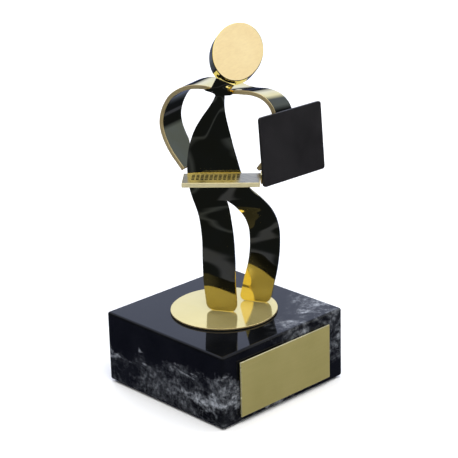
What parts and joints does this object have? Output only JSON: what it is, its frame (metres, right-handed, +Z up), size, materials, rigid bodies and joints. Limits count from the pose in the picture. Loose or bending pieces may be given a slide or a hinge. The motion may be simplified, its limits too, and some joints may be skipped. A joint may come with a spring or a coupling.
{
  "type": "figure trophy",
  "caption": "Bent-strip brass figure working at an open laptop, standing on a brass disc on a square polished marble plinth with a blank nameplate.",
  "frame": {"origin": "middle of the underside of the felt, on the surface the trophy stands on", "axes": "+Z up; -Y out of the plinth face that carries the nameplate; +X along the nameplate, left to right as seen from in front of it"},
  "size_m": [0.0936, 0.0929, 0.1944],
  "materials": {
    "polished_brass": "mirror polished strip with eased edges",
    "satin_brass": "satin, fine brushed grain",
    "plate_brass": "brushed, lacquered, blank",
    "black_lacquer": "matte black lacquer",
    "black_marble": null,
    "felt": "black wool felt",
    "zinc_steel": "bright zinc plated",
    "adhesive": "clear double-sided film"
  },
  "bodies": {
    "root": {"marble_plinth": "black_marble", "base_felt": "felt", "brass_disc": "satin_brass", "fixing_stud": "zinc_steel", "fixing_washer": "zinc_steel", "fixing_nut": "zinc_steel", "plate_adhesive": "adhesive", "nameplate": "plate_brass", "body_sheet": "polished_brass", "arm_hoop": "polished_brass", "head_slug": "satin_brass", "keyboard_plate": "satin_brass", "laptop_lid": "black_lacquer", "lid_bracket": "polished_brass"}
  },
  "joints": []
}
